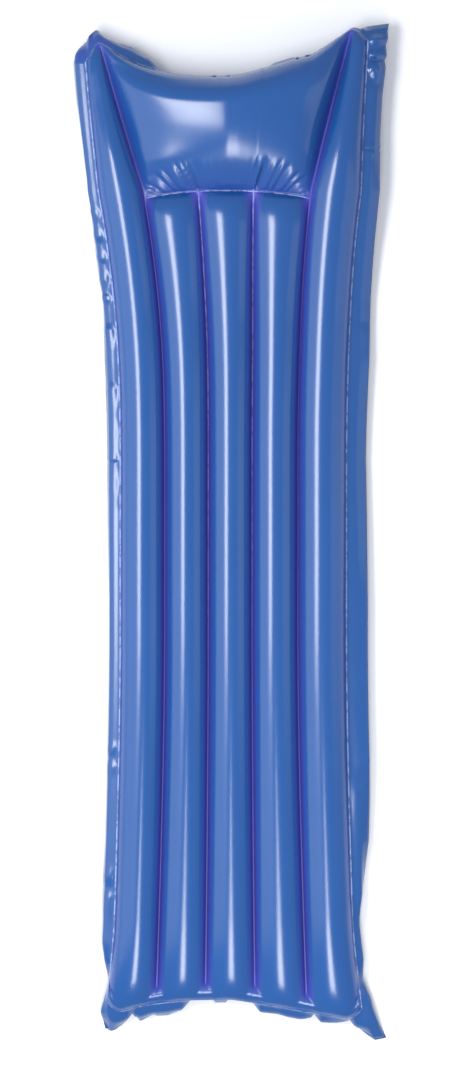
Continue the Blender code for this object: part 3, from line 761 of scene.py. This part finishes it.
def fold_row(place, spacing, seed):
    """Uneven folds side by side: 0 in the sharp creases, 1 on the round backs between them."""
    chance = np.random.default_rng(seed)
    warp = sum(
        chance.uniform(0.1, 0.3) * np.sin(2 * math.pi * place / (spacing * stretch) + chance.uniform(0, 6.28))
        for stretch in (2.3, 3.7, 6.1)
    )
    return np.abs(np.sin(math.pi * (place / spacing + warp)))


def across_pillow(film):
    """-1 to 1 across the pillow for each column of the film."""
    over = np.array([pillow_share(*column) for column in film.columns])
    return np.clip(2 * over - 1, -1, 1)


def pillow_weld_folds(film, over, settings):
    """Folds that fan out from the pillow's weld, with a long crease beyond each inner tube's weld."""
    from_weld = film.rows[:, None] - BODY_FILM
    ring = settings.fold_ring * np.sqrt(np.clip(1 - np.abs(over) ** 3, 0.02, 1.0))
    share = np.clip(from_weld / ring, 0.0, 1.6)
    folds = fold_row(over * PILLOW_WELD_HALF / (1 + FOLD_FAN * share), settings.fold_spacing, 5) - FOLD_MEAN
    envelope = smooth_step(0.0, 0.25, share) * (1 - smooth_step(0.80, 1.25, share))
    rise = looked_up(np.abs(over), FOLD_STRENGTH) * folds * envelope
    for weld in LONG_CREASES:
        crease = np.exp(-((over - weld * (1 + 0.3 * share)) / LONG_CREASE_WIDTH) ** 2)
        rise -= LONG_CREASE_DEPTH * crease * (1 - smooth_step(0.6, 1.2, share))
    return settings.pillow_fold * rise


def head_seam_folds(film, over, settings):
    """Fine folds where the pillow is gathered into the head seam, and a few deeper notches."""
    to_head = WHOLE_FILM - film.rows[:, None]
    distance = np.maximum(to_head, -3 * to_head)
    folds = fold_row(over * HEAD_SEAM_HALF, settings.head_fold_spacing, 8) - FOLD_MEAN
    rise = folds * np.exp(-distance / HEAD_FOLD_REACH)
    for notch in settings.head_notches:
        crease = np.exp(-((over - notch) / NOTCH_WIDTH) ** 2)
        rise -= NOTCH_DEPTH * crease * np.exp(-distance / NOTCH_REACH)
    return settings.head_fold * rise


def tube_end_folds(film, settings):
    """Faint folds at the inner tubes' ends below the pillow, and at all tubes' ends at the foot."""
    rows = film.rows[:, None]
    place = film.across[None, :] * (LAST_TUBE + 1) / 2 * TUBE_FILM
    rise = 0.0
    for distance, reach, wavelength, seed, columns in (
        (BODY_FILM - rows, END_FOLD_REACH, 0.019, 15, film.on_pillow[None, :]),
        (rows, FOOT_FOLD_REACH, 0.023, 27, True),
    ):
        near = np.exp(-np.maximum(distance, 0.0) / reach) * smooth_step(*END_FOLD_FROM_TO, distance)
        rise = rise + ripple(place, wavelength, seed) * near * columns
    return settings.end_fold * rise


def puckers(film, settings):
    """Height of the short folds where the film is gathered into a weld."""
    rows, over = film.rows[:, None], across_pillow(film)[None, :]
    on_pillow = film.on_pillow[None, :] & (rows > BODY_FILM)
    on_body = film.on_tubes & (rows > 0) & (rows < BODY_FILM)
    rise = on_pillow * (pillow_weld_folds(film, over, settings) + head_seam_folds(film, over, settings))
    return rise + on_body * tube_end_folds(film, settings)


def mesh_of(name, points, finish):
    numbers = np.arange(points.shape[0] * points.shape[1]).reshape(points.shape[:2])
    data = bpy.data.meshes.new(name)
    data.from_pydata(points.reshape(-1, 3).tolist(), [], grid_faces(numbers).tolist())
    data.materials.append(finish)
    made = bpy.data.objects.new(name, data)
    bpy.context.scene.collection.objects.link(made)
    return made


def keep_values(target, name, values):
    layer = target.data.attributes.new(name, "FLOAT", "POINT")
    layer.data.foreach_set("value", values.astype(np.float32).ravel())


def apply_modifiers(target):
    """Gives the object the mesh that its modifiers make, and removes them."""
    shown = target.evaluated_get(bpy.context.evaluated_depsgraph_get())
    target.data = bpy.data.meshes.new_from_object(shown)
    target.modifiers.clear()


def cut_round_hole(target, centre, radius):
    """A round hole in a flat-lying mesh: finer faces round it, and its rim drawn to the circle."""
    mesh = bmesh.new()
    mesh.from_mesh(target.data)
    near = [face for face in mesh.faces if (face.calc_center_median() - centre).xy.length < 2.5 * radius]
    edges = {edge for face in near for edge in face.edges}
    bmesh.ops.subdivide_edges(mesh, edges=list(edges), cuts=2, use_grid_fill=True)
    inside = [face for face in mesh.faces if (face.calc_center_median() - centre).xy.length < radius]
    bmesh.ops.delete(mesh, geom=inside, context="FACES")
    for vertex in mesh.verts:
        out = (vertex.co - centre).xy
        if vertex.is_boundary and out.length < 1.5 * radius:
            out = out.normalized() * radius
            vertex.co.x, vertex.co.y = centre.x + out.x, centre.y + out.y
    mesh.to_mesh(target.data)
    mesh.free()


def seat_flange(target, centre, radius):
    """Draws the film flat under a valve's flange, from where it rises to its own height again."""
    patch, rim = (radii * radius for radii in PATCH_FROM_TO)
    for vertex in target.data.vertices:
        out = (vertex.co - centre).xy.length
        if out < rim:
            vertex.co.z = min(vertex.co.z, lerp(FILM, vertex.co.z, smooth_step(patch, rim, out)))


class Value:
    """A shader socket that Python's arithmetic works on."""

    def __init__(self, shader, socket):
        self.shader = shader
        self.socket = socket

    def maths(self, operation, first, second):
        return self.shader.node("ShaderNodeMath", {"operation": operation}, {0: first, 1: second})

    def __add__(self, other):
        return self.maths("ADD", self, other)

    def __radd__(self, other):
        return self.maths("ADD", other, self)

    def __sub__(self, other):
        return self.maths("SUBTRACT", self, other)

    def __rsub__(self, other):
        return self.maths("SUBTRACT", other, self)

    def __mul__(self, other):
        return self.maths("MULTIPLY", self, other)

    def __rmul__(self, other):
        return self.maths("MULTIPLY", other, self)


class Shader:
    """A material being built, round one Principled BSDF."""

    def __init__(self, name):
        self.material = bpy.data.materials.new(name)
        self.material.use_nodes = True
        self.tree = self.material.node_tree
        self.surface = self.tree.nodes["Principled BSDF"]

    def node(self, kind, settings=None, inputs=None, output=0):
        """Adds a node: its settings first, then the values or links of its sockets."""
        made = self.tree.nodes.new(kind)
        for name, value in (settings or {}).items():
            setattr(made, name, value)
        for name, value in (inputs or {}).items():
            self.feed(made.inputs[name], value)
        return Value(self, made.outputs[output])

    def feed(self, socket, value):
        if isinstance(value, Value):
            self.tree.links.new(value.socket, socket)
        elif isinstance(value, (tuple, list)) and len(value) == 3 and len(socket.default_value) == 4:
            socket.default_value = (*value, 1.0)
        else:
            socket.default_value = value

    def mix(self, share, first, second):
        """A colour between two colours."""
        settings = {"data_type": "RGBA", "clamp_factor": True}
        return self.node("ShaderNodeMix", settings, {0: share, 6: first, 7: second}, output=2)

    def noise(self, scale, detail=2.0, roughness=0.5):
        """Noise from 0 to 1 over the object's own coordinates, in features per metre."""
        place = self.node("ShaderNodeTexCoord", output=3)
        inputs = {"Vector": place, "Scale": scale, "Detail": detail, "Roughness": roughness}
        return self.node("ShaderNodeTexNoise", inputs=inputs)

    def attribute(self, name):
        return self.node("ShaderNodeAttribute", {"attribute_name": name}, output=2)

    def level(self, value, low, high, to_low=0.0, to_high=1.0):
        inputs = {0: value, 1: low, 2: high, 3: to_low, 4: to_high}
        return self.node("ShaderNodeMapRange", {"interpolation_type": "SMOOTHSTEP", "clamp": True}, inputs)

    def bump(self, height, distance):
        return self.node("ShaderNodeBump", inputs={"Height": height, "Distance": distance, "Strength": 1.0})

    def set(self, **values):
        """Sets or links the surface's sockets, with underscores for the spaces in their names."""
        for name, value in values.items():
            self.feed(self.surface.inputs[name.replace("_", " ")], value)
        return self.material


def vinyl_finish(settings):
    """Glossy film: painted shade, a deeper violet, down in the grooves, another blue on the margin, and a
    painted pale highlight in dashes on the welds.
    """
    shader = Shader("blue_vinyl")
    painted_groove_shade = shader.attribute("painted_groove_shade")
    margin = shader.attribute("margin")
    weld = shader.attribute("weld")
    cloud = shader.level(shader.noise(9.0, 3.0), 0.3, 0.7, 0.0, 0.35)
    colour = shader.mix(cloud, settings.colour[:], settings.light_colour[:])
    colour = shader.mix(margin * 0.45, colour, settings.margin_colour[:])
    # Painted shade: a deeper violet blue down in the grooves, on the pillow's flanks and on the head margin's
    # left lobe
    colour = shader.mix(painted_groove_shade, colour, settings.painted_groove_shade_colour[:])
    # Painted highlight: pale dashes along the welds
    glint_dashes = shader.level(shader.noise(70.0, 2.0, 0.6), 0.42, 0.55, 0.25, 1.0)
    colour = shader.mix(weld * glint_dashes * 0.6, colour, settings.painted_weld_glint_colour[:])
    dust = shader.noise(60.0, 4.0, 0.6)
    rough = settings.roughness + dust * 0.05 - weld * 0.08 + painted_groove_shade * 0.30
    grain = shader.noise(900.0, 2.0)
    ribs = shader.node(
        "ShaderNodeTexWave",
        {"bands_direction": "Y"},
        {"Vector": shader.node("ShaderNodeTexCoord", output=3), "Scale": 120.0},
        output=1,
    )
    relief = shader.bump(grain * 0.15 + ribs * weld, 0.0002)
    return shader.set(Base_Color=colour, Roughness=rough, Normal=relief, IOR=1.55)


def moulded_finish(name, colour, roughness):
    """Moulded soft vinyl: a satin skin with faint flow marks."""
    shader = Shader(name)
    flow = shader.noise(140.0, 3.0)
    darker = tuple(0.8 * part for part in colour)
    tint = shader.mix(shader.level(flow, 0.35, 0.65), colour, darker)
    rough = roughness + shader.noise(420.0, 2.0) * 0.1
    relief = shader.bump(shader.noise(1500.0, 2.0), 0.0001)
    return shader.set(Base_Color=tint, Roughness=rough, Normal=relief, IOR=1.5)


def painted_groove_shade_mask(film):
    """Share of painted shade: 1 down at a weld between chambers and 0 from a quarter of the way up a tube,
    less on the pillow, and some on the left lobe of the head margin.
    """
    outer = ((film.tube == 0) & (film.share < 0.5)) | ((film.tube == LAST_TUBE) & (film.share > 0.5))
    low = 1 - smooth_step(*GROOVE_FROM_TO, np.minimum(film.share, 1 - film.share))
    depth = np.where(film.in_weld, 1.0, film.on_tubes * low * np.where(outer, OUTER_GROOVE, 1.0))
    inside = (film.rows >= 0) & (film.rows <= WHOLE_FILM)
    mask = (inside * smooth_step(*GROOVE_FOOT_FROM_TO, film.rows))[:, None] * depth[None, :]
    # Painted shade on the pillow's flanks and just above its weld
    flank = PILLOW_FLANK * ramp(PILLOW_FLANK_FROM, 1.0, np.abs(across_pillow(film))) ** PILLOW_FLANK_POWER
    from_weld = film.rows - BODY_FILM
    near_weld = PILLOW_GROOVE * np.exp(-np.maximum(from_weld, 0.0) / PILLOW_GROOVE_REACH)
    pillow = np.ix_(from_weld > 0, film.on_pillow)
    mask[pillow] = np.maximum(flank[None, :], near_weld[:, None])[pillow]
    # Painted shade on the left lobe of the head margin
    mask[np.ix_(film.rows > film.rows[film.head], film.across < HEAD_LOBE_TO)] = HEAD_LOBE
    return mask


class FilmSettings(bpy.types.PropertyGroup):
    """Thickness, welds, folds and colours of the two vinyl sheets."""

    thickness: FloatProperty(
        name="Thickness", description="Thickness of the film", default=FILM, unit="LENGTH", precision=5
    )
    long_beads: FloatVectorProperty(
        name="Long beads", description="Height of the beads on the long welds", size=4,
        default=(0.00008, 0.00040, 0.00040, 0.00008), unit="LENGTH",
    )
    seam_bead: FloatProperty(
        name="Seam bead", description="Height of the bead round the edge", default=0.00035, unit="LENGTH"
    )
    pillow_bead: FloatProperty(
        name="Pillow bead", description="Height of the bead on the pillow's weld",
        default=0.00055, unit="LENGTH",
    )
    fold_spacing: FloatProperty(
        name="Fold spacing", description="Between the pillow's folds", default=0.0135, unit="LENGTH"
    )
    pillow_fold: FloatProperty(
        name="Pillow folds", description="Height of the pillow's folds", default=0.0028, unit="LENGTH"
    )
    fold_ring: FloatProperty(
        name="Fold ring", description="How far the pillow's folds reach", default=0.072, unit="LENGTH"
    )
    head_fold_spacing: FloatProperty(
        name="Head fold spacing", description="Between the folds at the head seam",
        default=0.0105, unit="LENGTH",
    )
    head_fold: FloatProperty(
        name="Head folds", description="Height of the folds at the head seam", default=0.0016, unit="LENGTH"
    )
    head_notches: FloatVectorProperty(
        name="Head notches", description="Deeper folds at the head seam, by place across the pillow", size=4,
        default=(-0.09, 0.03, 0.62, 0.70),
    )
    end_fold: FloatProperty(
        name="End folds", description="Height of the folds at a tube's ends", default=0.0004, unit="LENGTH"
    )
    colour: FloatVectorProperty(
        name="Colour", description="Colour of the film", subtype="COLOR", default=(0.007, 0.066, 0.245)
    )
    light_colour: FloatVectorProperty(
        name="Lighter colour", description="Colour of its paler clouds", subtype="COLOR",
        default=(0.010, 0.074, 0.265),
    )
    margin_colour: FloatVectorProperty(
        name="Margin", description="Colour of the loose margin", subtype="COLOR",
        default=(0.010, 0.072, 0.250),
    )
    # Painted shade: the violet blue that stands in for the shade down in the grooves
    painted_groove_shade_colour: FloatVectorProperty(
        name="Grooves", description="Colour down at the welds", subtype="COLOR", default=(0.045, 0.052, 0.340)
    )
    # Painted highlight: the pale colour of the glints along the welds
    painted_weld_glint_colour: FloatVectorProperty(
        name="Welds", description="Colour of the pressed lines", subtype="COLOR", default=(0.45, 0.55, 0.88)
    )
    roughness: FloatProperty(name="Roughness", description="Of the film", default=0.18, subtype="FACTOR")


class ValveSettings(bpy.types.PropertyGroup):
    """Colours of the two push-in valves."""

    colour: FloatVectorProperty(
        name="Valve", description="Colour of base, stem and strap", subtype="COLOR",
        default=(0.05, 0.16, 0.50),
    )
    plug_colour: FloatVectorProperty(
        name="Plug", description="Colour of the plug", subtype="COLOR", default=(0.045, 0.14, 0.46)
    )
    flap_colour: FloatVectorProperty(
        name="Flap", description="Colour of the check flap", subtype="COLOR", default=(0.45, 0.52, 0.66)
    )
    roughness: FloatProperty(name="Roughness", description="Of the mouldings", default=0.30, subtype="FACTOR")


class StageSettings(bpy.types.PropertyGroup):
    """Floor, lights and camera."""

    floor_colour: FloatVectorProperty(
        name="Floor", description="Colour of the floor", subtype="COLOR", default=(0.86, 0.87, 0.89)
    )
    sky_strength: FloatProperty(name="Sky", description="Strength of the light from all round", default=0.68)
    window_light: FloatProperty(name="Windows", description="Brightness of the window lights", default=12.0)
    wall_light: FloatProperty(name="Walls", description="Brightness of the lit walls", default=1.3)
    camera_distance: FloatProperty(
        name="Camera height", description="Height of the camera", default=10.0, unit="LENGTH"
    )


class MakeFilm(bpy.types.Operator):
    """Make the top and bottom sheets of film"""

    bl_idname = "air_mattress.make_film"
    bl_label = "Sheets of film"

    def execute(self, context):
        settings = context.scene.air_mattress_film
        film = Film()
        top_points, bottom_points, margin = film_points(film, settings)
        finish = vinyl_finish(settings)
        # Painted shade in the grooves and painted highlights on the welds, kept as attributes on both skins
        painted_groove_shade, weld = painted_groove_shade_mask(film), weld_and_glint_mask(film)
        for name, points, node in (
            ("top_skin", top_points, "top_sheet"),
            ("bottom_skin", bottom_points, "bottom_sheet"),
        ):
            skin = mesh_of(name, points, finish)
            keep_values(skin, "painted_groove_shade", painted_groove_shade)
            keep_values(skin, "margin", margin.astype(float))
            keep_values(skin, "weld", weld)
            if name == "bottom_skin":
                skin.data.flip_normals()
                for valve in ("body", "pillow"):
                    low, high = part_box(valve + "_valve_base")
                    centre = (Vector(low) + Vector(high)) / 2
                    cut_round_hole(skin, centre, HOLE_RADIUS)
                    seat_flange(skin, centre, (high[1] - low[1]) / 2)
            skin.data.shade_smooth()
            shell = skin.modifiers.new("thickness", "SOLIDIFY")
            shell.thickness = settings.thickness
            shell.offset = 1.0
            apply_modifiers(skin)
            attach(skin, "mattress")
            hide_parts(node)
        flat_size()
        flat_size()
        return {"FINISHED"}


class FinishValves(bpy.types.Operator):
    """Give the valves' pieces their moulded vinyl"""

    bl_idname = "air_mattress.finish_valves"
    bl_label = "Valves"

    def execute(self, context):
        settings = context.scene.air_mattress_valves
        moulded = moulded_finish("valve_vinyl", settings.colour[:], settings.roughness)
        finishes = {
            "base": moulded,
            "stem": moulded,
            "strap": moulded,
            "plug": moulded_finish("plug_vinyl", settings.plug_colour[:], settings.roughness),
            "flap": moulded_finish("flap_vinyl", settings.flap_colour[:], settings.roughness),
        }
        for valve in ("body", "pillow"):
            for piece, finish in finishes.items():
                piece_object = bpy.data.objects[f"{valve}_valve_{piece}"]
                for slot in piece_object.material_slots:
                    slot.material = finish
        return {"FINISHED"}


def soft_light(name, place, size, brightness, aim):
    """A soft rectangular light at place, turned to aim: size is across and along the mattress."""
    data = bpy.data.lights.new(name, "AREA")
    data.shape = "RECTANGLE"
    data.size, data.size_y = size
    data.energy = brightness * math.pi * size[0] * size[1]
    made = bpy.data.objects.new(name, data)
    made.location = place
    made.rotation_euler = (Vector(aim) - Vector(place)).to_track_quat("-Z", "Y").to_euler()
    bpy.context.scene.collection.objects.link(made)
    return made


class SetStage(bpy.types.Operator):
    """Set the floor, the studio lights and the camera"""

    bl_idname = "air_mattress.set_stage"
    bl_label = "Stage"

    def execute(self, context):
        settings = context.scene.air_mattress_stage
        window, wall = settings.window_light, settings.wall_light
        scene = context.scene
        bpy.ops.mesh.primitive_plane_add(size=FLOOR_SIZE, location=(0.0, 0.0, -FLOOR_DROP))
        floor = context.object
        floor.name = "floor"
        shader = Shader("pale_floor")
        paper = shader.noise(3.0)
        shade = tuple(0.97 * part for part in settings.floor_colour)
        floor.data.materials.append(
            shader.set(Base_Color=shader.mix(paper, settings.floor_colour[:], shade), Roughness=0.8)
        )
        for name, place, size, brightness, aim in (
            ("head_window", (-0.74, 0.33, 2.0), (1.24, 0.56), 1.1 * window, (-0.05, 0.33, 0.0)),
            ("foot_strip", (0.12, -0.74, 2.0), (0.09, 0.34), 2.0 * window, (0.12, -0.74, 0.0)),
            ("foot_window", (0.12, -1.45, 2.0), (0.55, 1.15), 1.2 * window, (0.12, -1.45, 0.0)),
            ("left_wall", (-2.30, 0.0, 1.93), (2.30, 4.2), wall, (0.0, 0.0, 0.0)),
            ("right_wall", (2.90, 0.0, 0.80), (0.90, 4.2), 0.5 * wall, (0.0, 0.0, 0.0)),
        ):
            soft_light(name, place, size, brightness, aim)
        world = bpy.data.worlds.new("studio")
        world.use_nodes = True
        background = world.node_tree.nodes["Background"]
        background.inputs["Color"].default_value = SKY_COLOUR
        background.inputs["Strength"].default_value = settings.sky_strength
        scene.world = world
        scene.view_settings.view_transform = "Standard"
        data = bpy.data.cameras.new("camera")
        data.sensor_fit = "AUTO"
        data.angle = 2 * math.atan(PHOTO_HEIGHT * PIXEL / 2 / settings.camera_distance)
        camera = bpy.data.objects.new("camera", data)
        camera.location = (
            (PHOTO_WIDTH / 2 - MIDDLE_PIXEL_X) * PIXEL + CENTRE_LINE_X,
            (MIDDLE_PIXEL_Y - PHOTO_HEIGHT / 2) * PIXEL + MIDDLE_Y,
            settings.camera_distance + FLOOR_TO_MIDDLE,
        )
        scene.collection.objects.link(camera)
        scene.camera = camera
        return {"FINISHED"}


class SidePanel(bpy.types.Panel):
    """Shows each step's button and its settings in the 3D view's sidebar"""

    bl_idname = "VIEW3D_PT_air_mattress"
    bl_label = "Air mattress"
    bl_space_type = "VIEW_3D"
    bl_region_type = "UI"
    bl_category = "Air mattress"

    def draw(self, context):
        for kind, settings in (
            (MakeFilm, context.scene.air_mattress_film),
            (FinishValves, context.scene.air_mattress_valves),
            (SetStage, context.scene.air_mattress_stage),
        ):
            box = self.layout.box()
            box.operator(kind.bl_idname)
            for name in settings.__annotations__:
                box.prop(settings, name)


CLASSES = (FilmSettings, ValveSettings, StageSettings, MakeFilm, FinishValves, SetStage, SidePanel)


def register():
    for kind in CLASSES:
        bpy.utils.register_class(kind)
    bpy.types.Scene.air_mattress_film = PointerProperty(type=FilmSettings)
    bpy.types.Scene.air_mattress_valves = PointerProperty(type=ValveSettings)
    bpy.types.Scene.air_mattress_stage = PointerProperty(type=StageSettings)


def unregister():
    del bpy.types.Scene.air_mattress_stage
    del bpy.types.Scene.air_mattress_valves
    del bpy.types.Scene.air_mattress_film
    for kind in reversed(CLASSES):
        bpy.utils.unregister_class(kind)


def corners(box):
    return [[float(value) for value in corner] for corner in box]


def main():
    register()
    bpy.ops.air_mattress.make_film()
    bpy.ops.air_mattress.finish_valves()
    bpy.ops.air_mattress.set_stage()


if __name__ == "__main__":
    main()
